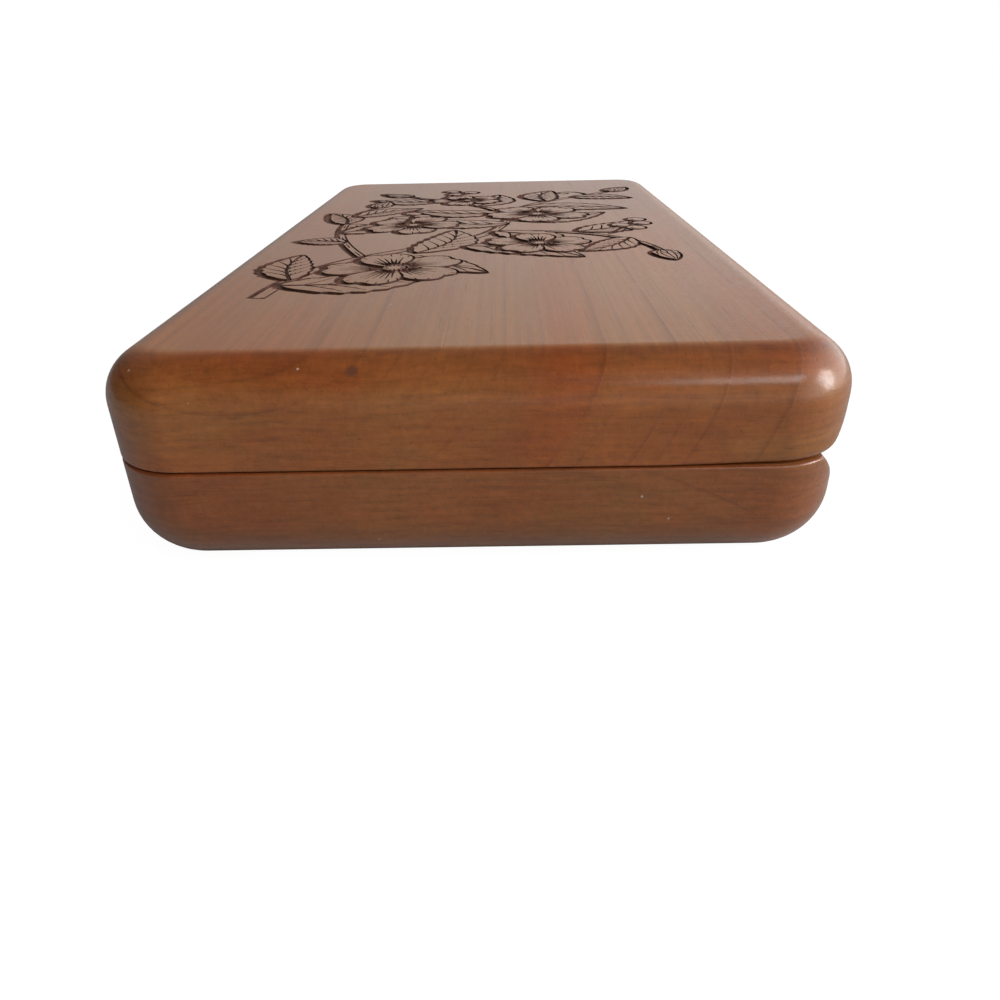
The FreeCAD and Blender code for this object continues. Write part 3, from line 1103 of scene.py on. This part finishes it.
def build_handling(name):
    """Fine scratches in several directions, smears where hands have been, and specks of dust."""
    outputs = dict.fromkeys(("Scratches", "Smears", "Dust"), "Float")
    wiring, given, result = new_group(name, {"Place": "Vector", "Fineness": "Float"}, outputs)
    place = wiring.vector("MULTIPLY", given["Place"], wiring.grey(given["Fineness"]))
    scratches = 0.0
    for turn, seed in ((0.4, 1.0), (1.5, 2.0), (2.6, 3.0)):
        inputs = {"Vector": place, "Rotation": (turn * 0.3, turn * 0.2, turn), "Scale": (0.04, 1.6, 1.6)}
        drawn_out = wiring.node("ShaderNodeMapping", inputs).outputs["Vector"]
        scratch = wiring.ramp(wiring.cloud(drawn_out, 1.0, 1.0, seed=seed), 0.7, 0.74)
        scratches = wiring.total(scratches, scratch)
    wiring.feed(result["Scratches"], wiring.math("MINIMUM", scratches, 1.0))
    wiring.feed(result["Smears"], wiring.ramp(wiring.cloud(place, 0.03, 3.0, 0.6), 0.35, 0.7))
    specks_in_a_metre, largest_speck = 230.0, 0.05
    inputs = {"Vector": given["Place"], "Scale": specks_in_a_metre}
    specks = wiring.node("ShaderNodeTexVoronoi", inputs).outputs
    size = wiring.slope(wiring.split(specks["Color"])[0], 0.3, 1.0, 0.0, largest_speck)
    wiring.feed(result["Dust"], wiring.math("LESS_THAN", specks["Distance"], size))


def build_knot(name):
    """A small knot: a dark heart with an uneven, soft rim."""
    inputs = {"Place": "Vector", "Centre": "Vector", "Size": "Float"}
    wiring, given, result = new_group(name, inputs, {"Mask": "Float"})
    blur = wiring.product(wiring.cloud(given["Place"], 500.0), 0.5)
    distance = wiring.vector("DISTANCE", given["Place"], given["Centre"], output="Value")
    share = wiring.total(wiring.math("DIVIDE", distance, given["Size"]), blur)
    wiring.feed(result["Mask"], wiring.ramp(share, 0.5, 1.25, 1.0, 0.0))


def new_material(name, **settings):
    """A material with its shader's own values set, and the wiring, inputs and coordinates to finish it."""
    material = bpy.data.materials.new(name)
    material.use_nodes = True
    wiring = Wiring(material.node_tree)
    shader = material.node_tree.nodes["Principled BSDF"]
    for label, value in settings.items():
        shader.inputs[label.replace("_", " ")].default_value = value
    return material, wiring, shader.inputs, wiring.node("ShaderNodeTexCoord").outputs


def dress(wiring, shader, colour, rough, height, strength, depth):
    """Gives a shader its colour, its roughness and its fine relief."""
    bump = wiring.node("ShaderNodeBump", {"Height": height, "Strength": strength, "Distance": depth})
    wiring.feed(shader["Base Color"], colour)
    wiring.feed(shader["Roughness"], rough)
    wiring.feed(shader["Normal"], bump.outputs["Normal"])


def timber_nodes(wiring, coordinates, pith, seed, early, late, finish, streak=NO_STREAK):
    """Places the shared timber pattern round one pith."""
    inputs = {
        "Place": wiring.vector("SUBTRACT", coordinates["Object"], pith),
        "Facing": coordinates["Normal"],
        "Spacing": finish.ring_spacing,
        "Seed": seed,
        "Early": early,
        "Late": late,
        "Streak radius": streak[0],
        "Streak width": streak[1],
    }
    for tint in TINTS:
        inputs[tint] = opaque(getattr(finish, tint.lower().replace(" ", "_")))
    return wiring.group("timber", build_timber, inputs)


def handling_marks(wiring, coordinates, fineness):
    inputs = {"Place": coordinates["Object"], "Fineness": fineness}
    marks = wiring.group("handling marks", build_handling, inputs)
    return marks["Scratches"], marks["Smears"], marks["Dust"]


def lacquered_wood(name, pith, seed, tint, finish, streak=NO_STREAK, knot=None):
    """Wood under satin lacquer, with faint scratches in the gloss and specks of dust."""
    knot_share, dust_share, smear_share, scratch_share = 0.65, 0.5, 0.06, 0.4
    material, wiring, shader, coordinates = new_material(
        name,
        IOR=1.5,
        Specular_IOR_Level=0.5,
        Specular_Tint=(1.0, 0.66, 0.4, 1.0),
        Coat_Roughness=0.21,
        Coat_IOR=1.5,
    )
    early, late = tinted(finish.early_wood, tint), tinted(finish.late_wood, tint)
    timber = timber_nodes(wiring, coordinates, pith, seed, early, late, finish, streak)
    colour = timber["Colour"]
    if knot is not None:
        inputs = {"Place": coordinates["Object"], "Centre": knot, "Size": finish.knot_size}
        spot = wiring.group("knot", build_knot, inputs)["Mask"]
        colour = wiring.mix(wiring.product(spot, knot_share), colour, opaque(finish.burnt_wood))
    scratches, smears, dust = handling_marks(wiring, coordinates, 900.0)
    colour = wiring.mix(wiring.product(dust, dust_share), colour, opaque(finish.dust))
    rough = wiring.slope(timber["Dullness"], 0.2, 0.8, 0.38, 0.55)
    rough = wiring.total(rough, wiring.product(smears, smear_share))
    speckle = wiring.cloud(coordinates["Object"], 1500.0, roughness=0.6)
    wiring.feed(shader["Coat Weight"], wiring.slope(speckle, 0.35, 0.65, 0.68, 1.0))
    height = wiring.math("SUBTRACT", timber["Relief"], wiring.product(scratches, scratch_share))
    dress(wiring, shader, colour, rough, height, 0.2, 0.4 * MM)
    return material


def bare_wood(name, pith, seed, tint, finish, early=None, late=None, roughness=0.55):
    """Wood with no lacquer, as the cutter left it."""
    material, wiring, shader, coordinates = new_material(name, IOR=1.45)
    early = tinted(early or finish.early_wood, tint)
    late = tinted(late or finish.late_wood, tint)
    timber = timber_nodes(wiring, coordinates, pith, seed, early, late, finish)
    unevenness = 0.2
    rough = wiring.slope(timber["Dullness"], 0.2, 0.8, roughness, roughness + unevenness)
    dress(wiring, shader, timber["Colour"], rough, timber["Relief"], 0.35, 0.4 * MM)
    return material


def burnt_wood(name, dark, pale):
    """Scorched wood at the bottom of the engraved lines, uneven from the hot point."""
    material, wiring, shader, coordinates = new_material(name, IOR=1.4)
    blot = wiring.cloud(coordinates["Object"], 420.0, 3.0, 0.6)
    grit = wiring.cloud(coordinates["Object"], (2600.0, 900.0, 2600.0))
    colour = wiring.mix(wiring.ramp(blot, 0.35, 0.7), opaque(dark), opaque(pale))
    dress(wiring, shader, colour, wiring.slope(grit, 0.3, 0.7, 0.5, 0.8), grit, 0.5, 0.2 * MM)
    return material


def worn_metal(name, colour, roughness, fineness):
    """Metal that is dulled and lightly scratched by use."""
    tarnish, dulling, scratch_share = (0.72, 0.66, 0.6), 0.14, 0.1
    material, wiring, shader, coordinates = new_material(name, Metallic=1.0)
    scratches, smears, _ = handling_marks(wiring, coordinates, fineness)
    colour = wiring.mix(smears, opaque(colour), tinted(colour, tarnish))
    rough = wiring.ramp(smears, 0.0, 1.0, roughness, roughness + dulling)
    rough = wiring.total(rough, wiring.product(scratches, scratch_share))
    dress(wiring, shader, colour, rough, scratches, 0.2, 0.05 * MM)
    return material


def pressed_felt(name, finish):
    """Pressed felt: matted fibres that run every way, with paler lint."""
    lint_share, lint_seed = 0.5, 4.0
    material, wiring, shader, coordinates = new_material(
        name, Sheen_Weight=0.35, Sheen_Roughness=0.4, Sheen_Tint=(0.9, 0.66, 0.55, 1.0), IOR=1.35
    )
    place = coordinates["Object"]
    mat = wiring.cloud(place, 900.0, 5.0, 0.7)
    lint = wiring.ramp(wiring.cloud(place, (2400.0, 500.0, 2400.0), seed=lint_seed), 0.56, 0.7)
    patch = wiring.cloud(place, 45.0)
    colour = wiring.mix(wiring.product(lint, lint_share), opaque(finish.felt), opaque(finish.felt_lint))
    tone = wiring.product(wiring.slope(mat, 0.3, 0.7, 0.7, 1.3), wiring.ramp(patch, 0.3, 0.7, 0.88, 1.1))
    colour = wiring.mix(1.0, colour, wiring.grey(tone), "MULTIPLY")
    dress(wiring, shader, colour, wiring.slope(mat, 0.2, 0.8, 0.85, 1.0), mat, 0.8, 0.5 * MM)
    return material


class WOODENBOX_OT_lid(bpy.types.Operator):
    """Models the lid and burns the flower spray into its top"""

    bl_idname = "wooden_box.lid"
    bl_label = "Lid with flower spray"

    def execute(self, context):
        form, finish = context.scene.wooden_box_form, context.scene.wooden_box_finish
        pith, seed, paler, darker = finish.lid_pith, 3.0, 2.0, 0.6
        singed, burnt = finish.singed_wood, finish.burnt_wood
        materials = [
            lacquered_wood("lid_wood_lacquered", pith, seed, WHITE, finish, LID_STREAK, finish.knot),
            bare_wood("lid_wood_bare", pith, seed, WHITE, finish),
            burnt_wood("lid_wood_burnt", burnt, [value * paler for value in burnt]),
            burnt_wood("lid_wood_carved", [value * darker for value in singed], singed),
        ]
        lid = add_lid(form, materials)
        engrave(lid, draw_spray(), form.carving_depth)
        smooth(lid)
        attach(lid, "lid")
        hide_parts("lid_shell")
        return {"FINISHED"}


class WOODENBOX_OT_tray(bpy.types.Operator):
    """Models the tray with its dovetail slots"""

    bl_idname = "wooden_box.tray"
    bl_label = "Tray"

    def execute(self, context):
        form, finish = context.scene.wooden_box_form, context.scene.wooden_box_finish
        pith, seed, tint = finish.tray_pith, 8.0, finish.tray_tint
        outside = lacquered_wood("tray_wood_lacquered", pith, seed, tint, finish)
        inside = bare_wood("tray_wood_bare", pith, seed, tint, finish)
        tray = add_tray(form, outside, inside)
        smooth(tray)
        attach(tray, "base")
        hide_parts("base_tray")
        return {"FINISHED"}


class WOODENBOX_OT_lining(bpy.types.Operator):
    """Cuts the felt for the floor of the tray"""

    bl_idname = "wooden_box.lining"
    bl_label = "Felt lining"

    def execute(self, context):
        finish = context.scene.wooden_box_finish
        low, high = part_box("tray_lining")
        size = high - low
        cell, loft, waves = 5 * MM, 0.14 * MM, 70.0
        corner_radius, corner_steps = 5.7 * MM, 10
        cut_edge, cut_steps = 0.35 * MM, 3
        felt = add_block("felt_lining", low, high)
        bevel_edges(felt, is_upright, corner_radius, corner_steps)
        bevel_edges(felt, at_level(high.z), cut_edge, cut_steps)
        for start, length, direction in ((low.x, size.x, (1, 0, 0)), (low.y, size.y, (0, 1, 0))):
            places = [start + cell * number for number in range(1, int(length / cell) + 1)]
            slice_across(felt, places, direction)
        for vertex in felt.data.vertices:
            if vertex.co.z > low.z + size.z / 2:
                vertex.co.z -= loft * (0.5 + 0.5 * noise.noise(vertex.co * waves))
        smooth(felt, math.radians(60))
        felt.data.materials.append(pressed_felt("felt_pressed", finish))
        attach(felt, "base")
        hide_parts("tray_lining")
        return {"FINISHED"}


class WOODENBOX_OT_fittings(bpy.types.Operator):
    """Gives the runners, the screws and the magnets their finishes"""

    bl_idname = "wooden_box.fittings"
    bl_label = "Runners, screws and magnets"

    def execute(self, context):
        finish = context.scene.wooden_box_finish
        pith, seed, roughness = finish.runner_pith, 5.0, 0.35
        early, late = finish.runner_wood, finish.runner_late
        waxed = bare_wood("runner_wood_waxed", pith, seed, WHITE, finish, early, late, roughness)
        finishes = {
            "left_runner": waxed,
            "right_runner": waxed,
            "runner_screws": worn_metal("screw_brass_turned", finish.brass, 0.22, 5000.0),
            "tray_magnets": worn_metal("magnet_nickel", finish.nickel, 0.12, 3000.0),
        }
        finishes["lid_magnets"] = finishes["tray_magnets"]
        for node, material in finishes.items():
            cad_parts[node].data.materials[0] = material
        return {"FINISHED"}


def add_softbox(name, place, aim, size, power, mirrored):
    """Adds a soft light that shines towards a point. It shows in reflections only, or not at all."""
    bpy.ops.object.light_add(type="AREA", location=place)
    light = bpy.context.object
    light.name = name
    light.rotation_euler = (Vector(aim) - Vector(place)).to_track_quat("-Z", "Y").to_euler()
    light.data.shape = "ELLIPSE"
    light.data.size, light.data.size_y = size
    light.data.energy = power
    light.visible_camera = False
    light.visible_glossy = mirrored


def white_floor():
    """A floor that looks white and plain, and throws back some of the light that falls on it."""
    thrown_back, shading, glow = 0.5, 0.1, 0.97
    material = bpy.data.materials.new("floor")
    material.use_nodes = True
    nodes = material.node_tree.nodes
    nodes.remove(nodes["Principled BSDF"])
    wiring = Wiring(material.node_tree)

    def plain(kind, level):
        return wiring.node(kind, {"Color": (level, level, level, 1.0)}).outputs[0]

    paper = plain("ShaderNodeBsdfDiffuse", thrown_back)
    shown = {0: plain("ShaderNodeBsdfDiffuse", shading), 1: plain("ShaderNodeEmission", glow)}
    seen = wiring.node("ShaderNodeAddShader", shown).outputs[0]
    camera_sees = wiring.node("ShaderNodeLightPath").outputs["Is Camera Ray"]
    choice = wiring.node("ShaderNodeMixShader", {0: camera_sees, 1: paper, 2: seen})
    wiring.feed(nodes["Material Output"].inputs["Surface"], choice.outputs[0])
    return material


def studio_world():
    """White behind the box, and for its reflections a soft sky that is bright low down and on the right."""
    world = bpy.data.worlds.new("studio")
    world.use_nodes = True
    wiring = Wiring(world.node_tree)
    x, _, z = wiring.split(wiring.node("ShaderNodeTexCoord").outputs["Generated"])
    lean = 0.45
    overhead = wiring.ramp(wiring.total(z, wiring.product(x, lean)), 0.36, 0.62, 1.0, 0.3)
    glows = (
        wiring.product(overhead, wiring.ramp(x, -1.0, 0.2, 0.03, 0.39)),
        wiring.product(wiring.ramp(z, 0.1, 0.55, 1.0, 0.0), wiring.ramp(x, -1.0, 1.0, 0.0, 0.45)),
        wiring.ramp(x, 0.1, 0.5, 0.0, 0.1),
        wiring.ramp(x, 0.4, 0.9, 0.0, 1.15),
    )
    camera_sees = wiring.node("ShaderNodeLightPath").outputs["Is Camera Ray"]
    background = world.node_tree.nodes["Background"].inputs
    background["Color"].default_value = opaque(WHITE)
    wiring.feed(background["Strength"], wiring.math("MAXIMUM", wiring.total(*glows), camera_sees))
    return world


class WOODENBOX_OT_stage(bpy.types.Operator):
    """Lays the floor and sets the lights and the camera"""

    bl_idname = "wooden_box.stage"
    bl_label = "Stage"

    def execute(self, context):
        stage = context.scene.wooden_box_stage
        floor_width, nearest_seen = 6.0, 5 * MM
        deselect_all()
        bpy.ops.mesh.primitive_plane_add(size=floor_width, location=(0.0, 0.0, CAD_LOW.z))
        floor = settle("floor")
        floor.data.materials.append(white_floor())
        middle = (0.0, 0.0, TOP / 2)
        for name, place, size, power, mirrored in (
            ("key_light", (0.4, -0.79, 1.21), (0.8, 0.4), stage.key_power, False),
            ("edge_light", (0.62, -0.98, 0.95), (0.7, 0.3), stage.edge_power, True),
            ("side_light", (1.09, -0.29, 0.41), (0.5, 0.55), stage.side_power, True),
        ):
            add_softbox(name, place, middle, size, power, mirrored)
        bpy.ops.object.camera_add(location=stage.camera_place)
        camera = bpy.context.object
        camera.rotation_euler = (
            Matrix.Rotation(-stage.camera_yaw, 3, "Z")
            @ Matrix.Rotation(math.pi / 2 - stage.camera_pitch, 3, "X")
            @ Matrix.Rotation(stage.camera_roll, 3, "Z")
        ).to_euler()
        camera.data.lens = stage.lens
        camera.data.clip_start = nearest_seen
        context.scene.camera = camera
        context.scene.world = studio_world()
        context.scene.view_settings.view_transform = "Standard"
        return {"FINISHED"}


class WOODENBOX_PT_panel(bpy.types.Panel):
    """Lists the pieces of the box"""

    bl_idname = "WOODENBOX_PT_panel"
    bl_label = "Wooden box"
    bl_space_type = "VIEW_3D"
    bl_region_type = "UI"
    bl_category = "Wooden box"

    def draw(self, context):
        for operator in OPERATORS:
            self.layout.operator(operator.bl_idname)


OPERATORS = (
    WOODENBOX_OT_stage,
    WOODENBOX_OT_tray,
    WOODENBOX_OT_lining,
    WOODENBOX_OT_lid,
    WOODENBOX_OT_fittings,
)
SETTINGS = {
    "wooden_box_form": WoodenBoxForm,
    "wooden_box_finish": WoodenBoxFinish,
    "wooden_box_stage": WoodenBoxStage,
}


def register():
    for setting in SETTINGS.values():
        bpy.utils.register_class(setting)
    for name, setting in SETTINGS.items():
        setattr(bpy.types.Scene, name, bpy.props.PointerProperty(type=setting))
    for panel_or_operator in (*OPERATORS, WOODENBOX_PT_panel):
        bpy.utils.register_class(panel_or_operator)


def unregister():
    for panel_or_operator in (WOODENBOX_PT_panel, *reversed(OPERATORS)):
        bpy.utils.unregister_class(panel_or_operator)
    for name in SETTINGS:
        delattr(bpy.types.Scene, name)
    for setting in SETTINGS.values():
        bpy.utils.unregister_class(setting)


def main():
    register()
    bpy.ops.wooden_box.stage()
    bpy.ops.wooden_box.tray()
    bpy.ops.wooden_box.lining()
    bpy.ops.wooden_box.lid()
    bpy.ops.wooden_box.fittings()


if __name__ == "__main__":
    main()
